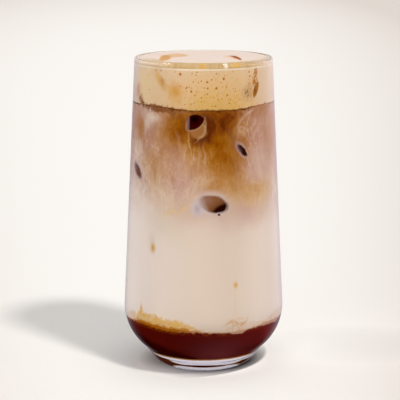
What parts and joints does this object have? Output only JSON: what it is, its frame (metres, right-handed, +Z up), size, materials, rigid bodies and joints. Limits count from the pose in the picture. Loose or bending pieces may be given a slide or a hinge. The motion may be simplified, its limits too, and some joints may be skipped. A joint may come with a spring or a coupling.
{
  "type": "banana split iced latte",
  "caption": "Iced latte in a tall clear tumbler: red sauce at the bottom, milk, coffee that swirls down into it round ice, and cold foam domed at the rim.",
  "frame": {"origin": "middle of the glass's underside, on the surface it stands on", "axes": "+Z up the glass's axis; -Y is the side shown in the picture"},
  "size_m": [0.0776, 0.0776, 0.1518],
  "materials": {
    "clear_glass": "clear, fire-polished, smooth",
    "sauce": "thick dark red sauce, glossy",
    "milk": "cold milk, creamy, faintly tinted by coffee",
    "coffee": "coffee swirling into milk, brown streaks",
    "foam": "cold foam, fine bubbles, pale on top and tan against the glass",
    "ice": "clear ice"
  },
  "bodies": {
    "root": {"glass": "clear_glass", "sauce": "sauce", "milk": "milk", "coffee": "coffee", "foam": "foam"}
  },
  "joints": []
}
